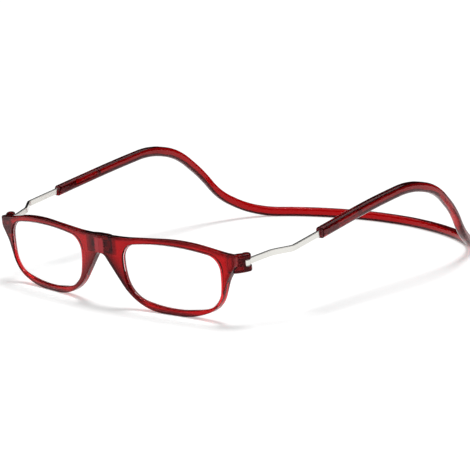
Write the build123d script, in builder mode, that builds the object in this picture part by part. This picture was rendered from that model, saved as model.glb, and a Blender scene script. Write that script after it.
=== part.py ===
"""Reading glasses that part at the bridge and are held together there by magnets.

Millimetres and degrees. +X is the wearer's left, +Y runs back to the nape, +Z is up, and the
glasses stand on Z = 0 on the lower rims and on the back of the neckband. The origin is under
the middle of the overall length. The left half is modelled, and the right half mirrors it.
"""
import os
from math import cos, radians, sin, tan

from build123d import *

# Overall
overall_depth = 225.1
arm_rise = 10.0

# Front: lean and wrap of the face, and the height at which distances behind it are measured
face_lean = 7.0
wrap_angle = 4.84
wrap_radius = 773.0
face_datum_height = 20.4
end_rim_width = 6.75
brow_height = 2.5
rim_thickness = 3.3
rim_edge_radius = 0.5
opening_edge_radius = 0.45
parting_gap = 0.05

# Boss behind the bridge, which holds the magnet and tapers to the rim
boss_depth = 4.8
boss_root_depth = 1.5
boss_width = 3.2
boss_taper_width = 5.0
boss_taper_radius = 6.0
boss_edge_radius = 0.8

# Outline of one half, seen from the front. Along X, -1 is the joint, 0 the nose side of the lens
# opening and 1 the end of the half, and heights are shares of the front's. The last share is how
# much of the shorter side at that corner its rounding takes.
outline_shares = (
    (-0.840, 0.694, 0.800),
    (0.115, 0.000, 0.483),
    (0.599, 0.000, 0.410),
    (0.848, 0.165, 0.470),
    (0.927, 0.572, 0.270),
    (1.000, 0.763, 0.275),
    (1.000, 0.903, 0.185),
    (0.912, 0.914, 0.227),
    (0.556, 1.017, 0.518),
    (0.012, 0.947, 0.287),
)
nose_arch_share = 0.694
bridge_top_share = 0.947

# Lens opening: corners and the middle of each bowed side, as shares of its width and height
opening_width = 46.6
opening_height = 26.8
nose_gap = 22.7
sill_height = 2.7
opening_top_radius = 7.0
opening_outer_radius = 9.5
opening_nose_radius = 12.0
upper_nose_corner_share = (0.010, 0.905)
top_middle_share = (0.497, 1.000)
upper_outer_corner_share = (0.986, 0.907)
outer_middle_share = (1.000, 0.563)
lower_outer_corner_share = (0.965, 0.146)
bottom_middle_share = (0.465, 0.000)
lower_nose_corner_share = (0.074, 0.123)
nose_middle_share = (0.005, 0.541)

# Lens
lens_centre_share = (0.5, 0.5)
lens_edge_thickness = 1.2
lens_shoulder = 0.25
lens_crown_rise = 0.6
lens_crown_radius = 420.0
groove_depth = 0.45
seat_clearance = 0.02

# Magnet and its cup
magnet_radius = 1.5
magnet_length = 4.0
cup_thickness = 0.3
magnet_top_gap = 3.9
magnet_setback = 2.4

# Hinge: pivot, ears of the end-piece, screw, nut, washers
hinge_outset = 0.9
hinge_setback = 14.35
hinge_drop = 6.5
ear_radius = 2.1
upper_ear_height = 3.6
lower_ear_height = 3.8
ear_edge_radius = 0.7
end_piece_inset = 0.6
end_piece_root_depth = 1.6
end_piece_bow_height = 0.45
web_inset = 4.4
web_root_depth = 2.2
web_hollow_depth = 0.5
eye_radius = 1.6
slot_floor_gap = 0.35
washer_thickness = 0.2
running_clearance = 0.05
screw_radius = 0.7
screw_tip_gap = 0.2
screw_head_radius = 1.15
screw_head_thickness = 0.6
screw_head_edge_radius = 0.15
screw_seat = 1.1
driver_slot_width = 0.3
driver_slot_depth = 0.25
nut_radius = 1.3
nut_sides = 6
nut_length = 1.6
nut_recess = 0.25

# Temple rod: a flat strip with an outward jog
rod_height = 2.5
rod_thickness = 1.2
rod_first_bend = 12.8
rod_first_offset = 3.1
rod_second_bend = 19.9
rod_offset = 8.4
rod_first_radius = 8.0
rod_second_radius = 3.0
rod_edge_radius = 0.2

# Socket in the end of the neckband, friction shoe on the rod, collar
mouth_distance = 38.8
collar_length = 3.0
collar_recess = 0.4
collar_height = 3.8
collar_width = 2.8
collar_corner_radius = 0.9
shoe_length = 8.0
shoe_wall = 0.4
shoe_end_wall = 1.2
shoe_corner_radius = 0.4
shoe_lead_in = 0.3
shoe_stop_gap = 0.3
rod_travel = 16.0
travel_margin = 1.0

# Neckband: section and route
band_height = 4.8
band_thickness = 4.0
band_corner_radius = 1.5
band_end_radius = 0.4
rest_flat = 0.15
straight_run = 38.3
crown_rise = 10.55
route_tangent_share = 0.45
guide_height = 5.0
# Corners of the route, as shares of the arm half spacing, of the reach from the socket's mouth
# to the back of the band, and of the crown height
hanging_route_shares = (
    (1.011, 0.389, 1.000),
    (1.016, 0.513, 0.904),
    (1.000, 0.619, 0.607),
    (0.969, 0.689, 0.315),
    (0.911, 0.779, 0.136),
)
# Corners that lie on the surface, as shares of the arm half spacing and of the reach
lying_route_shares = (
    (0.824, 0.851),
    (0.662, 0.913),
    (0.446, 0.9635),
    (0.162, 1.000),
)

# Cuts run past what they cut by this much
overrun = 10.0

# A face belongs to the front or the back of a piece if its normal's share along Y is above this
facing_share = 0.7

# Places worked out from the sizes above
lean_tangent = tan(radians(face_lean))
lean_direction = Vector(0, -sin(radians(face_lean)), cos(radians(face_lean)))
front_half_width = nose_gap / 2 + opening_width + end_rim_width
front_height = sill_height + opening_height + brow_height
nose_arch = nose_arch_share * front_height
bridge_top = bridge_top_share * front_height
bridge_y = -overall_depth / 2 + (bridge_top - face_datum_height) * lean_tangent
back_y = overall_depth / 2 - band_thickness / 2
hinge_x = front_half_width + hinge_outset
hinge = Vector(hinge_x, bridge_y + hinge_setback, front_height - hinge_drop)
arm_half_spacing = hinge_x + rod_offset
arm_direction = Vector(0, cos(radians(arm_rise)), sin(radians(arm_rise)))
hinge_axis = Vector(0, -sin(radians(arm_rise)), cos(radians(arm_rise)))
hinge_plane = Plane(origin=hinge, x_dir=(1, 0, 0), z_dir=hinge_axis)
hinge_line = Axis(hinge, hinge_axis)
arm_line = Axis(hinge, arm_direction)
slot_half = rod_height / 2 + washer_thickness + running_clearance
screw_seat_level = slot_half + screw_seat
nut_bottom = nut_recess - lower_ear_height
cup_bore = magnet_radius + seat_clearance
cup_radius = cup_bore + cup_thickness
cup_length = magnet_length + cup_thickness
magnet_height = bridge_top - magnet_top_gap
magnet_y = bridge_y + magnet_setback - (magnet_height - face_datum_height) * lean_tangent
shoe_start = mouth_distance + collar_recess + collar_length + shoe_stop_gap
rod_end = shoe_start + shoe_length - shoe_end_wall
shoe_height = rod_height + 2 * shoe_wall
shoe_width = rod_thickness + 2 * shoe_wall
socket_end = shoe_start + shoe_length + rod_travel + travel_margin


def front_point(run, depth):
    """Plan point at a run along the curved front from the bridge, and a depth behind its face."""
    angle = radians(wrap_angle) + run / wrap_radius
    radius = wrap_radius - depth
    across = radius * sin(angle) - wrap_radius * sin(radians(wrap_angle))
    back = wrap_radius * cos(radians(wrap_angle)) - radius * cos(angle)
    return Vector(across, back)


def outline_point(share):
    """Point of the half's outline from its shares: from the joint to the opening, or beyond it."""
    opening_edge = nose_gap / 2
    width = opening_edge if share[0] < 0 else front_half_width - opening_edge
    return Vector(opening_edge + share[0] * width, share[1] * front_height)


def opening_point(share, growth=0):
    """Point of the lens opening from its shares, moved away from its middle by a growth."""
    away = [round(2 * part - 1) for part in share]
    return (nose_gap / 2 + share[0] * opening_width + away[0] * growth,
            sill_height + share[1] * opening_height + away[1] * growth)


def arm_plane(distance):
    """Plane square to the arm, at a distance from the hinge along it."""
    origin = Vector(arm_half_spacing, hinge.Y, hinge.Z) + arm_direction * distance
    return Plane(origin=origin, x_dir=(-1, 0, 0), z_dir=arm_direction)


# The front is cut out of layers that follow its face. A layer is drawn in plan, across the lean,
# and the outlines are drawn behind the hinge and cut through along Y.
plan_plane = Plane(origin=(0, bridge_y, face_datum_height), x_dir=(1, 0, 0), z_dir=lean_direction)
layer_run = front_half_width + overrun
layer_reach = front_height + overrun
outline_plane = Plane.XZ.offset(-(bridge_y + hinge_setback + overrun))
outline_reach = hinge_setback + 3 * overrun


def front_layer(near, far):
    """Layer of the curved, leaning front between two depths behind its face."""
    face = [front_point(run, near) for run in (-overrun, layer_run / 2, layer_run)]
    back = [front_point(run, far) for run in (layer_run, layer_run / 2, -overrun)]
    with BuildPart() as layer:
        with BuildSketch(plan_plane):
            with BuildLine():
                ThreePointArc(*face)
                Line(face[2], back[0])
                ThreePointArc(*back)
                Line(back[2], face[0])
            make_face()
        extrude(amount=layer_reach, both=True)
    return layer.part


def boss_layer():
    """Layer of the boss behind the bridge, from the height of the nose arch up."""
    back = [(-overrun, boss_depth), (boss_width, boss_depth),
            (boss_width + boss_taper_width, rim_thickness / 2)]
    back = [front_point(*corner) for corner in back]
    with BuildPart() as layer:
        with BuildSketch(plan_plane.offset((nose_arch - face_datum_height) * lean_direction.Z)):
            with BuildLine():
                FilletPolyline(*back, radius=boss_taper_radius)
                Polyline(back[2], front_point(-overrun, boss_root_depth), back[0])
            make_face()
        extrude(amount=layer_reach)
    return layer.part


def half_outline():
    """Outline of one half of the front, seen from the front."""
    points = [Vector(parting_gap, nose_arch)]
    points += [outline_point(share) for share in outline_shares]
    points += [Vector(parting_gap, bridge_top)]
    radii = []
    for before, corner, after, share in zip(points, points[1:], points[2:], outline_shares):
        turn = (corner - before).get_angle(after - corner)
        shorter = min((corner - before).length, (after - corner).length)
        radii.append(share[2] * shorter / tan(radians(turn / 2)))
    with BuildSketch(outline_plane) as outline:
        with BuildLine():
            FilletPolyline(*points, radius=radii)
            Line(points[-1], points[0])
        make_face()
    return outline.sketch


def opening_outline(growth):
    """Outline of the lens opening, grown or shrunk by a margin."""
    sides = (
        (upper_nose_corner_share, top_middle_share, upper_outer_corner_share),
        (upper_outer_corner_share, outer_middle_share, lower_outer_corner_share),
        (lower_outer_corner_share, bottom_middle_share, lower_nose_corner_share),
        (lower_nose_corner_share, nose_middle_share, upper_nose_corner_share),
    )
    with BuildSketch(outline_plane) as outline:
        with BuildLine():
            for side in sides:
                ThreePointArc(*[opening_point(share, growth) for share in side])
        make_face()
        lower_nose, lower_outer, *upper = outline.vertices().sort_by(Axis.Y)
        fillet(upper, radius=opening_top_radius + growth)
        fillet(outline.vertices().sort_by_distance(lower_outer)[0], opening_outer_radius + growth)
        fillet(outline.vertices().sort_by_distance(lower_nose)[0], opening_nose_radius + growth)
    return outline.sketch


rim_outline = half_outline()
clear_opening = opening_outline(0)


def cut_out(layer):
    """What is left of a layer inside the half's outline and outside the lens opening."""
    with BuildPart() as piece:
        add(layer)
        extrude(rim_outline, amount=outline_reach, mode=Mode.INTERSECT)
        extrude(clear_opening, amount=outline_reach, mode=Mode.SUBTRACT)
    return piece


def outline_edges(piece, facing):
    """Edges round the faces that look back (1) or forward (-1), apart from the mating face's."""
    faces = piece.faces().filter_by(lambda face: face.normal_at().Y * facing > facing_share)
    edges = [edge for face in faces for edge in face.edges()]
    return ShapeList(edge for edge in edges if edge.center().X > 2 * parting_gap
                     and sum(edge.is_same(other) for other in edges) == 1)


def beside_opening(edge):
    """Whether an edge runs along the lens opening."""
    middle = edge.center()
    above = Vector(middle.X, outline_plane.origin.Y, middle.Z)
    return clear_opening.wire().distance_to(above) < parting_gap


# The rim, rounded all round at the front and the back
rim = cut_out(front_layer(0, rim_thickness))
with rim:
    for facing in (-1, 1):
        fillet(outline_edges(rim, facing).filter_by(beside_opening, reverse=True), rim_edge_radius)
        fillet(outline_edges(rim, facing).filter_by(beside_opening), opening_edge_radius)

# The boss behind the bridge, rounded at the back
boss = cut_out(boss_layer())
with boss:
    cup_top = magnet_height + cup_radius
    cup_foot = magnet_height - cup_radius
    edges = outline_edges(boss, 1)
    fillet(edges.filter_by(lambda edge: edge.center().Z > cup_top), rim_edge_radius)
    edges = outline_edges(boss, 1)
    fillet(edges.filter_by(lambda edge: edge.center().Z < cup_foot), boss_edge_radius)

def hinge_point(run, depth):
    """Point of the hinge's plane at a run along the front and a depth behind its face."""
    start = plan_plane.from_local_coords(front_point(run, depth))
    rise = (hinge - start).dot(hinge_axis) / lean_direction.dot(hinge_axis)
    return hinge_plane.to_local_coords(start + lean_direction * rise)


# The end-piece runs back from the rim to the hinge, square to the hinge's axis
root_outer = hinge_point(front_half_width - end_piece_inset, end_piece_root_depth)
web_foot = hinge_point(front_half_width - web_inset, web_root_depth)
with BuildPart() as end_piece:
    with BuildSketch(hinge_plane.offset(-lower_ear_height)):
        with BuildLine():
            SagittaArc(root_outer, (ear_radius, 0), -end_piece_bow_height)
            ThreePointArc((ear_radius, 0), (0, ear_radius), (-ear_radius, 0))
            SagittaArc((-ear_radius, 0), web_foot, -web_hollow_depth)
            Line(web_foot, root_outer)
        make_face()
    extrude(amount=lower_ear_height + upper_ear_height)
    ends = end_piece.faces().sort_by(hinge_line)
    fillet([*ends[0].edges(), *ends[-1].edges()], ear_edge_radius)


def tongue(clearance):
    """Slice of the front that fills the groove of the lens, less a clearance all round."""
    half = lens_edge_thickness / 2 - clearance
    outline = opening_outline(groove_depth - clearance)
    with BuildPart() as piece:
        add(front_layer(rim_thickness / 2 - half, rim_thickness / 2 + half))
        extrude(outline, amount=outline_reach, mode=Mode.INTERSECT)
    return piece


# Half of the front: rim, bridge and end-piece, with the seats of what they hold
groove = tongue(0)
magnet_centre = (parting_gap, magnet_y, magnet_height)
magnet_plane = Plane(origin=magnet_centre, x_dir=(0, 1, 0), z_dir=(1, 0, 0))
with BuildPart() as half_frame:
    add(rim.part)
    add(boss.part)
    add(end_piece.part)
    add(groove.part, mode=Mode.SUBTRACT)
    with BuildSketch(magnet_plane):
        Circle(cup_radius + seat_clearance)
    extrude(amount=cup_length + seat_clearance, mode=Mode.SUBTRACT)
    with BuildSketch(hinge_plane.offset(-slot_half)):
        with Locations((0, overrun - eye_radius - slot_floor_gap)):
            Rectangle(2 * overrun, 2 * overrun)
    extrude(amount=2 * slot_half, mode=Mode.SUBTRACT)
    with BuildSketch(hinge_plane.offset(-overrun)):
        Circle(screw_radius + seat_clearance)
    extrude(amount=2 * overrun, mode=Mode.SUBTRACT)
    with BuildSketch(hinge_plane.offset(screw_seat_level)):
        Circle(screw_head_radius + seat_clearance)
    extrude(amount=overrun, mode=Mode.SUBTRACT)
    with BuildSketch(hinge_plane.offset(nut_bottom + nut_length)):
        RegularPolygon(nut_radius + seat_clearance, side_count=nut_sides)
    extrude(amount=-overrun, mode=Mode.SUBTRACT)

# Lens: a tongue in the groove, and a middle that is domed towards the front
lens_x, lens_z = opening_point(lens_centre_share)
lens_face_depth = rim_thickness / 2 - lens_edge_thickness / 2 - lens_crown_rise
dome_centre = front_point(lens_x, lens_face_depth + lens_crown_radius)
dome_centre += Vector(0, 0, (lens_z - face_datum_height) / cos(radians(face_lean)))
lens_front = front_layer(0, rim_thickness / 2)
lens_outline = opening_outline(-lens_shoulder)
with BuildPart() as lens_dome:
    add(lens_front)
    extrude(lens_outline, amount=outline_reach, mode=Mode.INTERSECT)
    with Locations(plan_plane.from_local_coords(dome_centre)):
        Sphere(lens_crown_radius, mode=Mode.INTERSECT)
lens = tongue(seat_clearance)
with lens:
    add(lens_dome.part)

# Magnet, in a cup that is open towards the other half
with BuildPart() as magnet:
    with BuildSketch(magnet_plane):
        Circle(magnet_radius)
    extrude(amount=magnet_length)

with BuildPart() as magnet_cup:
    with BuildSketch(magnet_plane):
        Circle(cup_radius)
    extrude(amount=cup_length)
    with BuildSketch(magnet_plane):
        Circle(cup_bore)
    extrude(amount=magnet_length, mode=Mode.SUBTRACT)

# Hinge screw, from the tip in the nut up to the slotted head
with BuildPart() as hinge_screw:
    with BuildSketch(hinge_plane.offset(nut_bottom + screw_tip_gap)):
        Circle(screw_radius)
    extrude(amount=screw_seat_level - nut_bottom - screw_tip_gap)
    with BuildSketch(hinge_plane.offset(screw_seat_level)):
        Circle(screw_head_radius)
    extrude(amount=screw_head_thickness)
    fillet(hinge_screw.edges().sort_by(hinge_line)[-1], screw_head_edge_radius)
    with BuildSketch(hinge_plane.offset(screw_seat_level + screw_head_thickness)):
        Rectangle(2 * screw_head_radius, driver_slot_width)
    extrude(amount=-driver_slot_depth, mode=Mode.SUBTRACT)

with BuildPart() as hinge_nut:
    with BuildSketch(hinge_plane.offset(nut_bottom)):
        RegularPolygon(nut_radius, side_count=nut_sides)
        Circle(screw_radius + seat_clearance, mode=Mode.SUBTRACT)
    extrude(amount=nut_length)

# A washer above the eye of the rod and one below it
with BuildPart() as hinge_washers:
    with BuildSketch(hinge_plane.offset(rod_height / 2 + running_clearance / 2)):
        Circle(eye_radius)
        Circle(screw_radius + running_clearance, mode=Mode.SUBTRACT)
    extrude(amount=washer_thickness)
    mirror(about=hinge_plane)

# Temple rod: a strip on edge, with an eye at the hinge and an outward jog
jog = arm_half_spacing - hinge_x
with BuildPart() as temple_rod:
    with BuildSketch(hinge_plane.offset(-rod_height / 2)):
        with BuildLine():
            FilletPolyline((0, 0), (rod_first_offset, rod_first_bend), (jog, rod_second_bend),
                           (jog, rod_end), radius=[rod_first_radius, rod_second_radius])
        trace(line_width=rod_thickness)
        Circle(eye_radius)
    extrude(amount=rod_height)
    ends = temple_rod.faces().sort_by(hinge_line)
    fillet([*ends[0].edges(), *ends[-1].edges()], rod_edge_radius)
    with BuildSketch(hinge_plane.offset(-rod_height / 2)):
        Circle(screw_radius + running_clearance)
    extrude(amount=rod_height, mode=Mode.SUBTRACT)

# Friction shoe on the inner end of the rod
with BuildPart() as rod_slider:
    with BuildSketch(arm_plane(shoe_start)):
        RectangleRounded(shoe_width, shoe_height, shoe_corner_radius)
    extrude(amount=shoe_length)
    ends = rod_slider.faces().sort_by(arm_line)
    fillet([*ends[0].edges(), *ends[-1].edges()], shoe_lead_in)
    with BuildSketch(arm_plane(shoe_start)):
        Rectangle(rod_thickness + 2 * seat_clearance, rod_height + 2 * seat_clearance)
    extrude(amount=shoe_length - shoe_end_wall + seat_clearance, mode=Mode.SUBTRACT)

# Collar in the mouth of the socket, which the shoe can't pass
with BuildPart() as socket_collar:
    with BuildSketch(arm_plane(mouth_distance + collar_recess)):
        RectangleRounded(collar_width, collar_height, collar_corner_radius)
        Rectangle(rod_thickness + 2 * running_clearance, rod_height + 2 * running_clearance,
                  mode=Mode.SUBTRACT)
    extrude(amount=collar_length)

# Space in the neckband for the collar, and behind it for the shoe over its whole travel
with BuildPart() as socket:
    with BuildSketch(arm_plane(mouth_distance - overrun)):
        RectangleRounded(collar_width + 2 * seat_clearance, collar_height + 2 * seat_clearance,
                         collar_corner_radius + seat_clearance)
    extrude(amount=overrun + collar_recess + collar_length)
    with BuildSketch(arm_plane(mouth_distance)):
        Rectangle(shoe_width + 2 * running_clearance, shoe_height + 2 * running_clearance)
    extrude(amount=socket_end - mouth_distance)

# Neckband: one moulding, from the mouth of one socket to the other
mouth = arm_plane(mouth_distance).origin
reach = back_y - mouth.Y
crown_height = mouth.Z + crown_rise
side_route = [mouth, mouth + arm_direction * straight_run]
side_route += [Vector(x * arm_half_spacing, mouth.Y + y * reach, z * crown_height)
               for x, y, z in hanging_route_shares]
side_route += [Vector(x * arm_half_spacing, mouth.Y + y * reach, band_height / 2 - rest_flat)
               for x, y in lying_route_shares]
route = side_route + [Vector(-point.X, point.Y, point.Z) for point in reversed(side_route)]
route_radii = []
for before, corner, after in zip(route, route[1:], route[2:]):
    turn = (corner - before).get_angle(after - corner)
    shorter = min((corner - before).length, (after - corner).length)
    route_radii.append(route_tangent_share * shorter / tan(radians(turn / 2)))
print("least radius of the neckband's route", round(min(route_radii), 1))
with BuildLine() as neckband_route:
    FilletPolyline(*route, radius=route_radii)
route_wire = neckband_route.wire()
with BuildPart() as neckband:
    with BuildSketch(arm_plane(mouth_distance)):
        RectangleRounded(band_thickness, band_height, band_corner_radius)
    sweep(path=route_wire, binormal=route_wire.moved(Location((0, 0, guide_height))))
    ends = neckband.faces().sort_by(Axis.Y)[:2]
    fillet([*ends[0].edges(), *ends[1].edges()], band_end_radius)
    split(bisect_by=Plane.XY, keep=Keep.TOP)
    add(socket.part, mode=Mode.SUBTRACT)
    mirror(socket.part, about=Plane.YZ, mode=Mode.SUBTRACT)
neckband.part.label = "neckband"

os.makedirs("parts", exist_ok=True)
export_step(neckband.part, "parts/neckband.step")
sided = {"half_frame": half_frame, "lens": lens, "magnet": magnet, "magnet_cup": magnet_cup,
         "hinge_screw": hinge_screw, "hinge_nut": hinge_nut, "hinge_washers": hinge_washers,
         "temple_rod": temple_rod, "rod_slider": rod_slider, "socket_collar": socket_collar}
for name, piece in sided.items():
    with BuildPart() as twin:
        mirror(piece.part, about=Plane.YZ)
    piece.part.label = f"{name}_left"
    twin.part.label = f"{name}_right"
    export_step(piece.part, f"parts/{name}_left.step")
    export_step(twin.part, f"parts/{name}_right.step")
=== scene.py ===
"""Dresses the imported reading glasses: finishes of every piece, the studio and the camera.

Everything is in metres, in the frame of the pack: +X is the wearer's left, +Y runs back and +Z
is up. The pieces keep the shapes of the CAD, and each gets a finish that is made of nodes.
"""
import logging
import math
from dataclasses import dataclass
from enum import Enum

import bpy
from mathutils import Matrix, Vector

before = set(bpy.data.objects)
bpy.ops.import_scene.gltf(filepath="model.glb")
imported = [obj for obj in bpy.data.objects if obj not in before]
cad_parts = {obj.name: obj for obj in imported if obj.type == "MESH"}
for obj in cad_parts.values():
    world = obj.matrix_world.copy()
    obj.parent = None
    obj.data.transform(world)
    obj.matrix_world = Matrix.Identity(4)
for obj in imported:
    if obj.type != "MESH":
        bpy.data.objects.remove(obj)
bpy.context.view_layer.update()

log = logging.getLogger("glasses")

Socket = bpy.types.NodeSocket
Colour = tuple[float, float, float]
Span = tuple[float, float]

MM = 0.001
RISING = (0.0, 1.0)
FALLING = (1.0, 0.0)
NOISE_MIDDLE = (0.3, 0.7)
NOISE_DETAIL = 2.0
FIRST_DULL_BOUNCE = 0.5


class Side(Enum):
    """Side of the wearer, as the names of its pieces end."""

    LEFT = "left"
    RIGHT = "right"


class Finish(Enum):
    """Finish of a piece, by its material slot."""

    POLISHED_STEEL = "polished_steel"
    RED_FRAME = "red_frame"
    RED_BAND = "red_band"
    CLEAR_LENS = "clear_lens"
    MAGNET_METAL = "magnet_metal"
    CUP_STEEL = "cup_steel"
    NUT_BRASS = "nut_brass"
    WASHER_PLASTIC = "washer_plastic"
    SHOE_PLASTIC = "shoe_plastic"
    COLLAR_PLASTIC = "collar_plastic"


class NodeBench:
    """Node tree of a material or of the world, with short ways to add and join its nodes.

    Attributes:
        owner: The material or the world.
        tree: Its node tree.
        output: Its output node.
    """

    def __init__(self, owner: bpy.types.Material | bpy.types.World) -> None:
        """Starts a tree that holds only its output.

        Args:
            owner: Material or world that the nodes are for.
        """
        owner.use_nodes = True
        self.owner = owner
        self.tree = owner.node_tree
        self.tree.nodes.clear()
        kind = "World" if isinstance(owner, bpy.types.World) else "Material"
        self.output = self.add("Output" + kind)

    @classmethod
    def for_material(cls, name: str) -> "NodeBench":
        """Starts a new material.

        Args:
            name: Name of the material.

        Returns:
            The bench of its nodes.
        """
        return cls(bpy.data.materials.new(name))

    def add(self, kind: str, **values: object) -> bpy.types.Node:
        """Adds a node.

        Args:
            kind: Node type, without its ShaderNode beginning.
            values: Attributes of the node, or values of its inputs with _ for a space.

        Returns:
            The new node.
        """
        node = self.tree.nodes.new("ShaderNode" + kind)
        for key, value in values.items():
            if hasattr(node, key):
                setattr(node, key, value)
            else:
                node.inputs[key.replace("_", " ")].default_value = value
        return node

    def join(self, source: Socket, target: Socket) -> None:
        """Joins an output to an input."""
        self.tree.links.new(source, target)

    def surface(self, shader: bpy.types.Node) -> None:
        """Joins a shader node to the output."""
        self.join(shader.outputs[0], self.output.inputs["Surface"])

    def split(self, vector: Socket) -> dict[str, Socket]:
        """Adds the parts of a vector.

        Args:
            vector: The vector.

        Returns:
            Its parts by the names X, Y and Z.
        """
        parts = self.add("SeparateXYZ")
        self.join(vector, parts.inputs[0])
        return {name: parts.outputs[name] for name in "XYZ"}

    def place(self) -> Socket:
        """Adds the object's own coordinates, in metres, which move with the piece."""
        return self.add("TexCoord").outputs["Object"]

    def facing(self) -> Socket:
        """Adds the surface's normal in the object's own coordinates."""
        return self.add("TexCoord").outputs["Normal"]

    def maths(self, operation: str, *values: object) -> Socket:
        """Adds a sum on numbers or outputs.

        Args:
            operation: Name of the Math node's operation.
            values: Numbers or outputs, in order.

        Returns:
            The result.
        """
        node = self.add("Math", operation=operation)
        for value, socket in zip(values, node.inputs):
            if isinstance(value, (int, float)):
                socket.default_value = value
            else:
                self.join(value, socket)
        return node.outputs[0]

    def edges(self, reach: float, samples: int, turn: Span) -> Socket:
        """Adds a factor that grows from 0 to 1 towards the edges.

        Args:
            reach: Distance from an edge within which it grows, in metres.
            samples: Number of rays that look for an edge.
            turn: Cosines between the rounded and the true normal where it is 0 and 1.

        Returns:
            The factor.
        """
        rounded = self.add("Bevel", samples=samples, Radius=reach)
        true = self.add("NewGeometry")
        dot = self.add("VectorMath", operation="DOT_PRODUCT")
        self.join(rounded.outputs["Normal"], dot.inputs[0])
        self.join(true.outputs["True Normal"], dot.inputs[1])
        return self.span(self.maths("ABSOLUTE", dot.outputs["Value"]), turn, RISING)

    def noise(self, size: float, stretch: tuple = (1, 1, 1)) -> Socket:
        """Adds a noise.

        Args:
            size: Size of its spots, in metres.
            stretch: How many times longer the spots are along each axis.

        Returns:
            The noise's factor.
        """
        mapping = self.add("Mapping", Scale=[1 / share for share in stretch])
        self.join(self.place(), mapping.inputs["Vector"])
        noise = self.add("TexNoise", Scale=1 / size, Detail=NOISE_DETAIL)
        self.join(mapping.outputs["Vector"], noise.inputs["Vector"])
        return noise.outputs["Fac"]

    def span(self, value: Socket, source: Span, target: Span) -> Socket:
        """Maps a value from one range to another, and holds it there.

        Args:
            value: The value.
            source: Range that it comes in.
            target: Range that it goes to.

        Returns:
            The mapped value.
        """
        node = self.add("MapRange", From_Min=source[0], From_Max=source[1],
                        To_Min=target[0], To_Max=target[1])
        self.join(value, node.inputs["Value"])
        return node.outputs["Result"]

    def step(self, value: Socket, place: float, fade: float, ends: Span = RISING) -> Socket:
        """Changes from one end to the other where a value passes a place.

        Args:
            value: The value.
            place: Where it changes.
            fade: Distance before and after the place over which it changes.
            ends: Results before and after it.

        Returns:
            The result.
        """
        return self.span(value, (place - fade, place + fade), ends)

    def spread(self, noise: Socket, target: Span) -> Socket:
        """Maps a noise's middle range to the target's."""
        return self.span(noise, NOISE_MIDDLE, target)

    def blend(self, factor: Socket, first: object, second: object) -> Socket:
        """Mixes two colours.

        Args:
            factor: 0 for the first colour, and 1 for the second.
            first: Colour, or an output.
            second: Colour, or an output.

        Returns:
            The mixed colour.
        """
        mix = self.add("Mix", data_type="RGBA")
        sockets = [socket for socket in mix.inputs if socket.type == "RGBA"]
        for socket, colour in zip(sockets, (first, second)):
            if isinstance(colour, tuple):
                socket.default_value = (*colour, 1)
            else:
                self.join(colour, socket)
        self.join(factor, mix.inputs["Factor"])
        return next(socket for socket in mix.outputs if socket.type == "RGBA")

    def bump(self, height: Socket, depth: float) -> Socket:
        """Turns a height into a normal.

        Args:
            height: Height of the relief, from 0 to 1.
            depth: Depth of the relief, in metres.

        Returns:
            The normal.
        """
        bump = self.add("Bump", Distance=depth)
        self.join(height, bump.inputs["Height"])
        return bump.outputs["Normal"]


@dataclass(frozen=True)
class Zone:
    """Box in which the plastic gets painted shade, or in one zone a painted highlight, the same on
    both sides of the plane of symmetry.

    Attributes:
        across: Nearest and farthest distance from the plane of symmetry.
        along: Lowest and highest Y.
        height: Lowest and highest Z.
        fade: Distance inside and outside each face over which the zone fades.
        strength: Strength of the zone.
    """

    across: Span
    along: Span
    height: Span
    fade: float = 0.5 * MM
    strength: float = 1.0

    def factor(self, bench: NodeBench) -> Socket:
        """Adds a factor that is the strength in the zone and 0 outside it.

        Args:
            bench: Node tree of the material.

        Returns:
            The factor.
        """
        parts = bench.split(bench.place())
        parts["X"] = bench.maths("ABSOLUTE", parts["X"])
        inside = self.strength
        for name, (low, high) in zip("XYZ", (self.across, self.along, self.height)):
            for face, ends in ((low, RISING), (high, FALLING)):
                step = bench.step(parts[name], face, self.fade, ends)
                inside = bench.maths("MULTIPLY", step, inside)
        return inside


@dataclass(frozen=True)
class Opening:
    """Lens opening of each half, from which the rim's outer side is told.

    Attributes:
        across: Distance of its middle from the plane of symmetry.
        height: Height of its middle.
        half_width: Half of its width.
        half_height: Half of its height.
        squareness: How square it is: 2 for an ellipse, and more for fuller corners.
        outer: Sizes, as shares of the opening's, at which the outer side starts and is full.
        parting: Distance from the plane of symmetry up to which the halves meet.
        fade: Distance over which the parting ends.
    """

    across: float = 34.65 * MM
    height: float = 16.1 * MM
    half_width: float = 23.3 * MM
    half_height: float = 13.4 * MM
    squareness: float = 4.0
    outer: Span = (1.03, 1.10)
    parting: float = 2.5 * MM
    fade: float = 0.3 * MM

    def outside(self, bench: NodeBench) -> Socket:
        """Adds a factor that is 0 at the opening and 1 on the rim's outer side.

        Args:
            bench: Node tree of the material.

        Returns:
            The factor.
        """
        parts = bench.split(bench.place())
        reach = bench.maths("ABSOLUTE", parts["X"])
        wide = self.power(bench, reach, self.across, self.half_width)
        high = self.power(bench, parts["Z"], self.height, self.half_height)
        size = bench.maths("POWER", bench.maths("ADD", wide, high), 1 / self.squareness)
        past_parting = bench.step(reach, self.parting, self.fade)
        return bench.maths("MULTIPLY", bench.span(size, self.outer, RISING), past_parting)

    def power(self, bench: NodeBench, value: Socket, middle: float, half: float) -> Socket:
        """Adds a distance from the middle, as a share of half the size, to the squareness's power.

        Args:
            bench: Node tree of the material.
            value: Place along one axis.
            middle: The opening's middle along it.
            half: Half of the opening's size along it.

        Returns:
            The power.
        """
        share = bench.maths("DIVIDE", bench.maths("SUBTRACT", value, middle), half)
        return bench.maths("POWER", bench.maths("ABSOLUTE", share), self.squareness)


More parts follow.
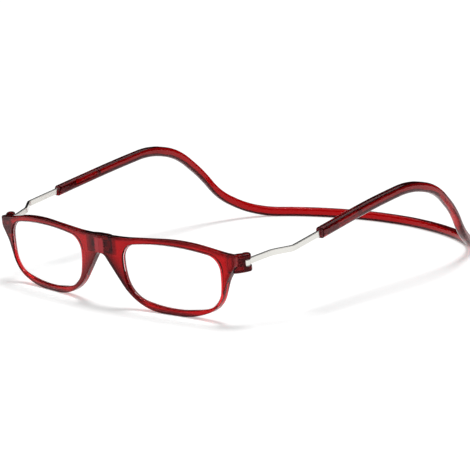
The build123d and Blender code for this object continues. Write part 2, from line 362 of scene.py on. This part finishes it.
@dataclass(frozen=True)
class NoseSide:
    """Slanting nose side of each half: painted shade on its front, and no painted shade on the wall
    that faces the nose.

    Attributes:
        across: Distance of its upper end from the plane of symmetry.
        height: Height of its upper end, above which nothing is changed.
        fade: Distance above and below that height over which the change fades.
        slant: Angle of the side from the upright, in degrees.
        reach: Distances from the edge at which the dark is full and at which it is gone.
        darkness: Strength of the painted shade.
        wall_turn: Shares of the normal towards the nose at which the wall starts and is full.
    """

    across: float = 1.8 * MM
    height: float = 22.2 * MM
    fade: float = 0.5 * MM
    slant: float = 35.3
    reach: Span = (1.2 * MM, 5.5 * MM)
    darkness: float = 0.92
    wall_turn: Span = (0.65, 0.85)

    def tint(self, bench: NodeBench, dark: Socket) -> Socket:
        """Paints shade on the front of the nose side, and takes all painted shade off its wall.

        Args:
            bench: Node tree of the material.
            dark: Factor of the painted shade so far.

        Returns:
            The new factor.
        """
        place = bench.split(bench.place())
        normal = bench.split(bench.facing())
        reach = bench.maths("ABSOLUTE", place["X"])
        outward = bench.maths("MULTIPLY", bench.maths("SIGN", place["X"]), normal["X"])
        below = bench.step(place["Z"], self.height, self.fade, FALLING)

        past = bench.maths("SUBTRACT", reach, self.across)
        above = bench.maths("SUBTRACT", place["Z"], self.height)
        inward = self.away(bench, past, above)
        front = bench.span(inward, self.reach, (self.darkness, 0.0))
        front = bench.maths("MULTIPLY", front, below)

        towards_nose = bench.maths("MULTIPLY", self.away(bench, outward, normal["Z"]), -1.0)
        wall = bench.span(towards_nose, self.wall_turn, RISING)
        wall = bench.maths("MULTIPLY", wall, below)
        darker = bench.maths("MAXIMUM", dark, front)
        return bench.maths("MULTIPLY", darker, bench.maths("SUBTRACT", 1.0, wall))

    def away(self, bench: NodeBench, across: Socket, up: Socket) -> Socket:
        """Adds the part of a direction that points away from the nose, square to the side.

        Args:
            bench: Node tree of the material.
            across: The direction's part away from the plane of symmetry.
            up: Its part upwards.

        Returns:
            The part.
        """
        slant = math.radians(self.slant)
        return bench.maths("ADD", bench.maths("MULTIPLY", across, math.cos(slant)),
                           bench.maths("MULTIPLY", up, math.sin(slant)))


@dataclass(frozen=True)
class TintedPlastic:
    """Clear plastic with a tint, polished, with the faint ripple of a moulding, and with painted
    shade along its edges and in zones.

    Attributes:
        finish: Finish that it is.
        tint: Colour of the surface.
        deep_tint: Colour of the surface where the ripple is low.
        painted_shade_tint: Colour of the painted shade along the edges and in the zones of painted
            shade.
        edge_reach: Distance from an edge within which shade is painted on the plastic.
        edge_samples: Number of rays that look for an edge.
        edge_turn: Cosines of the edge's turn at which the painted edge shade starts and is full.
        body_tint: Colour that the thickness lets through.
        density: How strongly the thickness tints, per metre.
        clearness: Share of the light that goes through.
        bending: Index of refraction.
        gloss_tint: Colour of the light that the surface sends back.
        gloss_level: Strength of the gloss.
        roughness: Least and greatest roughness.
        ripple_size: Size of the ripple's waves.
        ripple_depth: Depth of the ripple's waves.
        opening: Opening whose rim gets painted edge shade on its outer side only, or None for
            painted edge shade all round.
        zones: Zones of painted shade.
        nose_side: Nose side whose front gets painted shade, or None.
        painted_highlight_zone: Zone that lets less light through, a painted highlight between the
            magnets, or None.
        painted_highlight_clearness: Share of the light that goes through in the painted highlight.
    """

    finish: Finish
    tint: Colour = (0.97, 0.13, 0.15)
    deep_tint: Colour = (0.92, 0.09, 0.11)
    painted_shade_tint: Colour = (0.13, 0.02, 0.025)
    edge_reach: float = 3.0 * MM
    edge_samples: int = 6
    edge_turn: Span = (0.9995, 0.96)
    body_tint: Colour = (0.855, 0.02, 0.03)
    density: float = 1500.0
    clearness: float = 0.97
    bending: float = 1.49
    gloss_tint: Colour = (1.0, 0.22, 0.26)
    gloss_level: float = 0.32
    roughness: Span = (0.05, 0.12)
    ripple_size: float = 3.0 * MM
    ripple_depth: float = 0.03 * MM
    opening: Opening | None = None
    zones: tuple[Zone, ...] = ()
    nose_side: NoseSide | None = None
    painted_highlight_zone: Zone | None = None
    painted_highlight_clearness: float = 0.5

    def material(self) -> bpy.types.Material:
        """Builds the material.

        Returns:
            The material.
        """
        bench = NodeBench.for_material(self.finish.value)
        ripple = bench.noise(self.ripple_size)
        shader = bench.add("BsdfPrincipled", IOR=self.bending, Transmission_Weight=self.clearness,
                           Specular_IOR_Level=self.gloss_level, Specular_Tint=(*self.gloss_tint, 1))
        face = bench.blend(ripple, self.deep_tint, self.tint)
        # Painted shade: the colour goes to the shade tint along the edges, in the zones and on the
        # nose side's front.
        colour = bench.blend(self.dark(bench), face, self.painted_shade_tint)
        # Painted highlight: a block between the magnets lets less light through and shows brighter
        # red.
        if self.painted_highlight_zone:
            painted_highlight = self.painted_highlight_zone.factor(bench)
            clear = bench.span(painted_highlight, RISING, (self.clearness, self.painted_highlight_clearness))
            bench.join(clear, shader.inputs["Transmission Weight"])
        bench.join(colour, shader.inputs["Base Color"])
        bench.join(bench.spread(ripple, self.roughness), shader.inputs["Roughness"])
        bench.join(bench.bump(ripple, self.ripple_depth), shader.inputs["Normal"])
        bench.surface(shader)
        body = bench.add("VolumeAbsorption", Density=self.density, Color=(*self.body_tint, 1))
        bench.join(body.outputs["Volume"], bench.output.inputs["Volume"])
        return bench.owner

    def dark(self, bench: NodeBench) -> Socket:
        """Adds the factor of the painted shade, which is 1 where the plastic is painted darkest.

        Args:
            bench: Node tree of the material.

        Returns:
            The factor.
        """
        dark = bench.edges(self.edge_reach, self.edge_samples, self.edge_turn)
        if self.opening:
            dark = bench.maths("MULTIPLY", dark, self.opening.outside(bench))
        for zone in self.zones:
            dark = bench.maths("MAXIMUM", dark, zone.factor(bench))
        if self.nose_side:
            dark = self.nose_side.tint(bench, dark)
        return dark


@dataclass(frozen=True)
class Metal:
    """Polished or drawn metal with fine lines along the arm.

    Attributes:
        finish: Finish that it is.
        tone: Colour of the metal.
        dark_share: Brightness of the lines, as a share of the metal's.
        roughness: Least and greatest roughness.
        line_size: Width of the lines.
        line_stretch: Length of the lines, as a multiple of their width.
        line_depth: Depth of the lines.
        mouth_reach: Distance from the plane of symmetry within which the metal has its own tone,
            or 0 where all of it has.
        mouth_fade: Distance over which that ends.
        body_tone: Colour of the metal past that distance.
    """

    finish: Finish
    tone: Colour = (0.75, 0.74, 0.70)
    dark_share: float = 0.93
    roughness: Span = (0.12, 0.22)
    line_size: float = 0.12 * MM
    line_stretch: float = 40.0
    line_depth: float = 0.004 * MM
    mouth_reach: float = 0.0
    mouth_fade: float = 0.3 * MM
    body_tone: Colour = (0.10, 0.10, 0.11)

    def material(self) -> bpy.types.Material:
        """Builds the material.

        Returns:
            The material.
        """
        bench = NodeBench.for_material(self.finish.value)
        lines = bench.noise(self.line_size, stretch=(1, self.line_stretch, 1))
        shader = bench.add("BsdfPrincipled", Metallic=1.0)
        darker = tuple(part * self.dark_share for part in self.tone)
        colour = bench.blend(lines, darker, self.tone)
        if self.mouth_reach:
            colour = bench.blend(self.past_mouth(bench), colour, self.body_tone)
        bench.join(colour, shader.inputs["Base Color"])
        bench.join(bench.spread(lines, self.roughness), shader.inputs["Roughness"])
        bench.join(bench.bump(lines, self.line_depth), shader.inputs["Normal"])
        bench.surface(shader)
        return bench.owner

    def past_mouth(self, bench: NodeBench) -> Socket:
        """Adds a factor that is 1 farther from the plane of symmetry than the mouth.

        Args:
            bench: Node tree of the material.

        Returns:
            The factor.
        """
        across = bench.maths("ABSOLUTE", bench.split(bench.place())["X"])
        return bench.span(across, (self.mouth_reach, self.mouth_reach + self.mouth_fade), RISING)


@dataclass(frozen=True)
class MouldedPlastic:
    """Opaque moulded plastic with a fine grain.

    Attributes:
        finish: Finish that it is.
        tone: Colour of the plastic.
        dark_share: Brightness of the grain's low places, as a share of the plastic's.
        bending: Index of refraction.
        roughness: Least and greatest roughness.
        grain_size: Size of the grain.
        grain_depth: Depth of the grain.
    """

    finish: Finish
    tone: Colour
    dark_share: float = 0.85
    bending: float = 1.5
    roughness: Span = (0.35, 0.5)
    grain_size: float = 0.3 * MM
    grain_depth: float = 0.01 * MM

    def material(self) -> bpy.types.Material:
        """Builds the material.

        Returns:
            The material.
        """
        bench = NodeBench.for_material(self.finish.value)
        grain = bench.noise(self.grain_size)
        shader = bench.add("BsdfPrincipled", IOR=self.bending)
        darker = tuple(part * self.dark_share for part in self.tone)
        bench.join(bench.blend(grain, darker, self.tone), shader.inputs["Base Color"])
        bench.join(bench.spread(grain, self.roughness), shader.inputs["Roughness"])
        bench.join(bench.bump(grain, self.grain_depth), shader.inputs["Normal"])
        bench.surface(shader)
        return bench.owner


@dataclass(frozen=True)
class LensPlastic:
    """Clear lens with a hard coating.

    Attributes:
        finish: Finish that it is.
        tint: Colour of the lens.
        bending: Index of refraction.
        roughness: Least and greatest roughness.
        haze_size: Size of the spots in which the roughness changes.
    """

    finish: Finish
    tint: Colour = (0.985, 0.99, 0.99)
    bending: float = 1.5
    roughness: Span = (0.0, 0.02)
    haze_size: float = 12.0 * MM

    def material(self) -> bpy.types.Material:
        """Builds the material.

        Returns:
            The material.
        """
        bench = NodeBench.for_material(self.finish.value)
        haze = bench.noise(self.haze_size)
        shader = bench.add("BsdfPrincipled", IOR=self.bending, Transmission_Weight=1.0,
                           Base_Color=(*self.tint, 1))
        bench.join(bench.spread(haze, self.roughness), shader.inputs["Roughness"])
        bench.surface(shader)
        return bench.owner


Recipe = TintedPlastic | Metal | MouldedPlastic | LensPlastic
Finishes = dict[Finish, bpy.types.Material]


@dataclass(frozen=True)
class RedZones:
    """Places where the photograph shows the red plastic darker or milkier, which get painted shade
    and a painted highlight.

    A zone that goes to the end of the plastic goes past it, so that its fade doesn't show.

    Attributes:
        front: Lowest and highest Y of the front.
        middle: Start of a zone that begins at the plane of symmetry.
        end: End of a zone that goes to the side of the front.
        top: Height above the front.
        underside: Height below the front.
    """

    front: Span = (-130 * MM, -90 * MM)
    middle: float = -9 * MM
    end: float = 80 * MM
    top: float = 40 * MM
    underside: float = -9 * MM

    def front_painted_shade(self) -> tuple[Zone, ...]:
        """Gives the zones of painted shade on the front.

        Returns:
            The zones: beside the magnets, top of the bridge, brow, sill, and ears of the hinge.
        """
        # Each zone is painted shade: beside the magnets, on the bridge's top and the brow, on the
        # sill and on the hinge's ears.
        magnet_sides = Zone(across=(2.7 * MM, 7.2 * MM), along=self.front,
                            height=(22 * MM, self.top))
        bridge_top = Zone(across=(self.middle, 11 * MM), along=self.front,
                          height=(29.1 * MM, self.top), fade=0.4 * MM)
        brow = Zone(across=(9 * MM, 58 * MM), along=self.front,
                    height=(30.8 * MM, self.top), fade=0.7 * MM)
        sill = Zone(across=(self.middle, self.end), along=self.front,
                    height=(self.underside, 1.6 * MM), fade=0.7 * MM)
        ears = Zone(across=(60 * MM, self.end), along=(-98.5 * MM, -80 * MM),
                    height=(0.0, 28.4 * MM))
        return magnet_sides, bridge_top, brow, sill, ears

    def painted_highlight_block(self) -> Zone:
        """Gives the painted highlight between the magnets: a block of the plastic that lets less
        light through.

        Returns:
            The zone.
        """
        return Zone(across=(self.middle, 2.3 * MM), along=self.front,
                    height=(22.5 * MM, 28.8 * MM), fade=0.3 * MM)

    def arms_painted_shade(self) -> tuple[Zone, ...]:
        """Gives the painted shade on the neckband's arms, from their mouths to their crowns.

        Returns:
            The zone, as the only one.
        """
        arms = Zone(across=(-20 * MM, 100 * MM), along=(-90 * MM, 22 * MM),
                    height=(0.0, 60 * MM), fade=12 * MM, strength=0.45)
        return (arms,)


def recipes() -> tuple[Recipe, ...]:
    """Gives the recipes of all the finishes.

    Returns:
        The recipes.
    """
    zones = RedZones()
    return (
        Metal(Finish.POLISHED_STEEL),
        TintedPlastic(Finish.RED_FRAME, opening=Opening(), zones=zones.front_painted_shade(),
                      nose_side=NoseSide(), painted_highlight_zone=zones.painted_highlight_block()),
        # The band gets painted shade along its edges and on its arms.
        TintedPlastic(Finish.RED_BAND, body_tint=(0.84, 0.02, 0.03), edge_reach=1.5 * MM,
                      edge_turn=(0.995, 0.80), zones=zones.arms_painted_shade(), gloss_level=0.2),
        LensPlastic(Finish.CLEAR_LENS),
        Metal(Finish.MAGNET_METAL, tone=(0.80, 0.80, 0.81), roughness=(0.45, 0.6)),
        Metal(Finish.CUP_STEEL, tone=(0.85, 0.85, 0.86), roughness=(0.5, 0.65),
              mouth_reach=2.4 * MM),
        Metal(Finish.NUT_BRASS, tone=(0.69, 0.53, 0.26)),
        MouldedPlastic(Finish.WASHER_PLASTIC, tone=(0.7, 0.7, 0.68)),
        MouldedPlastic(Finish.SHOE_PLASTIC, tone=(0.32, 0.03, 0.04)),
        MouldedPlastic(Finish.COLLAR_PLASTIC, tone=(0.25, 0.02, 0.03)),
    )


@dataclass(frozen=True)
class SubAssembly:
    """Pieces that are fitted together, and come off as one.

    Attributes:
        finishes: Materials of the finishes.
    """

    finishes: Finishes

    def dress(self, node: str, finish: Finish) -> bpy.types.Object:
        """Gives a carried-over CAD node its finish.

        Args:
            node: Name of the node.
            finish: Its finish.

        Returns:
            The node's object.
        """
        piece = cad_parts[node]
        piece.data.materials.clear()
        piece.data.materials.append(self.finishes[finish])
        log.info("%s: %s", node, finish.value)
        return piece


@dataclass(frozen=True)
class Neckband(SubAssembly):
    """The moulded band behind the neck."""

    def build(self) -> None:
        """Dresses the band."""
        self.dress("neckband", Finish.RED_BAND)


@dataclass(frozen=True)
class Front(SubAssembly):
    """One half of the front: frame, lens, and magnet in its cup.

    Attributes:
        side: Side of the wearer.
    """

    side: Side

    def build(self) -> None:
        """Dresses the half's pieces. The photograph has no shadow of the lenses."""
        end = self.side.value
        self.dress(f"half_frame_{end}", Finish.RED_FRAME)
        lens = self.dress(f"lens_{end}", Finish.CLEAR_LENS)
        lens.visible_shadow = False
        self.dress(f"magnet_{end}", Finish.MAGNET_METAL)
        self.dress(f"magnet_cup_{end}", Finish.CUP_STEEL)


@dataclass(frozen=True)
class Hinge(SubAssembly):
    """Small parts of one hinge: screw, nut, and the pair of washers.

    Attributes:
        side: Side of the wearer.
    """

    side: Side

    def build(self) -> None:
        """Dresses the hinge's pieces."""
        end = self.side.value
        self.dress(f"hinge_screw_{end}", Finish.POLISHED_STEEL)
        self.dress(f"hinge_nut_{end}", Finish.NUT_BRASS)
        self.dress(f"hinge_washers_{end}", Finish.WASHER_PLASTIC)


@dataclass(frozen=True)
class Arm(SubAssembly):
    """Sliding arm of one side: rod, its shoe, and the collar of the socket.

    Attributes:
        side: Side of the wearer.
    """

    side: Side

    def build(self) -> None:
        """Dresses the arm's pieces."""
        end = self.side.value
        self.dress(f"temple_rod_{end}", Finish.POLISHED_STEEL)
        self.dress(f"rod_slider_{end}", Finish.SHOE_PLASTIC)
        self.dress(f"socket_collar_{end}", Finish.COLLAR_PLASTIC)


@dataclass(frozen=True)
class PhotoView:
    """Camera at the photograph's place.

    Attributes:
        azimuth: Angle round the glasses from the front, in degrees.
        elevation: Angle above the horizon, in degrees.
        roll: Turn about the line of sight, in degrees.
        distance: Distance to the target.
        target: Point that the camera looks at, in mm.
        lens: Focal length, in mm.
        clip_start: Nearest distance that the camera sees.
    """

    azimuth: float = 38.05
    elevation: float = 11.91
    roll: float = 0.31
    distance: float = 767.79 * MM
    target: tuple[float, float, float] = (24.13, -51.45, 23.41)
    lens: float = 136.52
    clip_start: float = 10 * MM

    def build(self) -> None:
        """Makes the camera and sets it as the scene's."""
        azimuth = math.radians(self.azimuth)
        elevation = math.radians(self.elevation)
        back = Vector((math.sin(azimuth) * math.cos(elevation),
                       -math.cos(azimuth) * math.cos(elevation),
                       math.sin(elevation)))
        level = Vector((math.cos(azimuth), math.sin(azimuth), 0))
        right = Matrix.Rotation(math.radians(self.roll), 3, back) @ level
        up = back.cross(right)
        facing = Matrix((right, up, back)).transposed().to_4x4()
        place = Vector(self.target) * MM + back * self.distance
        data = bpy.data.cameras.new("photo_view")
        data.lens = self.lens
        data.clip_start = self.clip_start
        camera = bpy.data.objects.new("photo_view", data)
        camera.matrix_world = Matrix.Translation(place) @ facing
        bpy.context.scene.collection.objects.link(camera)
        bpy.context.scene.camera = camera
        log.info("camera placed")


@dataclass(frozen=True)
class Studio:
    """White floor, soft sky, one far lamp, and dark cards that outline clear plastic.

    Attributes:
        floor_size: Side of the floor.
        floor_tone: Share of the light that the floor gives back.
        floor_roughness: Roughness of the floor.
        floor_lift: Light that only views of the floor add, so that it reads as white.
        sky_light: Strength of the light from all round.
        key_light: Strength of the far lamp, in watts per square metre.
        key_spread: Width of the far lamp as the glasses see it, in degrees.
        key_place: Direction of the far lamp.
        card_reach: Distance of the dark cards.
        card_span: Lowest and highest elevation that the cards cover, in degrees.
        card_sides: Number of cards in the ring.
        felt_tones: Colours of the cards' felt.
        felt_roughness: Roughness of the felt.
        nap_size: Size of the spots in the felt.
    """

    floor_size: float = 12.0
    floor_tone: float = 0.8
    floor_roughness: float = 0.5
    floor_lift: float = 0.38
    sky_light: float = 0.38
    key_light: float = 2.0
    key_spread: float = 20.0
    key_place: tuple[float, float, float] = (-0.08, 0.21, 1.0)
    card_reach: float = 1.0
    card_span: Span = (0.0, 42.0)
    card_sides: int = 48
    felt_tones: tuple[Colour, Colour] = ((0.008, 0.008, 0.009), (0.016, 0.016, 0.017))
    felt_roughness: float = 1.0
    nap_size: float = 20 * MM

    def build(self) -> None:
        """Makes the floor, the sky, the lamp and the cards."""
        self.floor()
        self.sky()
        self.key()
        self.cards()
        log.info("studio lit")

    def stand(self, name: str, points: list, faces: list,
              material: bpy.types.Material) -> bpy.types.Object:
        """Makes a thing of the studio that isn't part of the glasses.

        Args:
            name: Its name.
            points: Corners of its mesh.
            faces: Faces of its mesh.
            material: Its material.

        Returns:
            Its object.
        """
        mesh = bpy.data.meshes.new(name)
        mesh.from_pydata(points, [], faces)
        mesh.materials.append(material)
        thing = bpy.data.objects.new(name, mesh)
        bpy.context.scene.collection.objects.link(thing)
        return thing

    def floor(self) -> None:
        """Makes the floor, which is white and keeps the shadows."""
        half = self.floor_size / 2
        corners = [(-half, -half, 0), (half, -half, 0), (half, half, 0), (-half, half, 0)]
        bench = NodeBench.for_material("floor")
        tone = (self.floor_tone, self.floor_tone, self.floor_tone, 1)
        paper = bench.add("BsdfDiffuse", Roughness=self.floor_roughness, Color=tone)
        lift = bench.add("Emission")
        strength = bench.maths("MULTIPLY", self.seen(bench), self.floor_lift)
        both = bench.add("AddShader")
        bench.join(strength, lift.inputs["Strength"])
        bench.join(paper.outputs[0], both.inputs[0])
        bench.join(lift.outputs[0], both.inputs[1])
        bench.surface(both)
        self.stand("floor", corners, [(0, 1, 2, 3)], bench.owner)

    def sky(self) -> None:
        """Sets the world: white where it is seen, and softer as a light."""
        world = bpy.data.worlds.new("studio")
        bpy.context.scene.world = world
        bench = NodeBench(world)
        background = bench.add("Background", Color=(1, 1, 1, 1))
        strength = bench.span(self.seen(bench), RISING, (self.sky_light, 1.0))
        bench.join(strength, background.inputs["Strength"])
        bench.surface(background)

    def key(self) -> None:
        """Makes the far lamp, which leaves no glints."""
        lamp = bpy.data.lights.new("key", "SUN")
        lamp.angle = math.radians(self.key_spread)
        lamp.energy = self.key_light
        place = Vector(self.key_place)
        key = bpy.data.objects.new("key", lamp)
        key.location = place
        key.rotation_euler = (-place).to_track_quat("-Z", "Y").to_euler()
        key.visible_glossy = False
        bpy.context.scene.collection.objects.link(key)

    def cards(self) -> None:
        """Makes the ring of dark cards, which only gloss and clear plastic show."""
        low, high = (self.card_reach * math.tan(math.radians(angle)) for angle in self.card_span)
        points = []
        for step in range(self.card_sides):
            turn = 2 * math.pi * step / self.card_sides
            x = self.card_reach * math.cos(turn)
            y = self.card_reach * math.sin(turn)
            points += [(x, y, low), (x, y, high)]
        count = len(points)
        faces = [(i, (i + 2) % count, (i + 3) % count, i + 1) for i in range(0, count, 2)]
        bench = NodeBench.for_material("card_felt")
        felt = bench.add("BsdfDiffuse", Roughness=self.felt_roughness)
        nap = bench.noise(self.nap_size)
        bench.join(bench.blend(nap, *self.felt_tones), felt.inputs["Color"])
        bench.surface(felt)
        ring = self.stand("dark_cards", points, faces, bench.owner)
        ring.visible_camera = False
        ring.visible_diffuse = False
        ring.visible_shadow = False

    def seen(self, bench: NodeBench) -> Socket:
        """Adds a factor that is 1 for what is seen directly, in gloss or through glass.

        It is 0 for light that a dull surface, such as the floor, gathers through the lenses.

        Args:
            bench: Node tree that asks.

        Returns:
            The factor.
        """
        path = bench.add("LightPath").outputs
        direct = bench.maths("MAXIMUM", path["Is Camera Ray"], path["Is Glossy Ray"])
        direct = bench.maths("MAXIMUM", direct, path["Is Transmission Ray"])
        not_gathered = bench.maths("LESS_THAN", path["Diffuse Depth"], FIRST_DULL_BOUNCE)
        return bench.maths("MULTIPLY", direct, not_gathered)


def main() -> None:
    """Builds the scene in order and reports each piece."""
    logging.basicConfig(level=logging.INFO, format="%(message)s")
    finishes = {recipe.finish: recipe.material() for recipe in recipes()}
    Neckband(finishes).build()
    for side in Side:
        Front(finishes, side).build()
        Hinge(finishes, side).build()
        Arm(finishes, side).build()
    Studio().build()
    PhotoView().build()
    bpy.context.scene.view_settings.view_transform = "Standard"


if __name__ == "__main__":
    main()
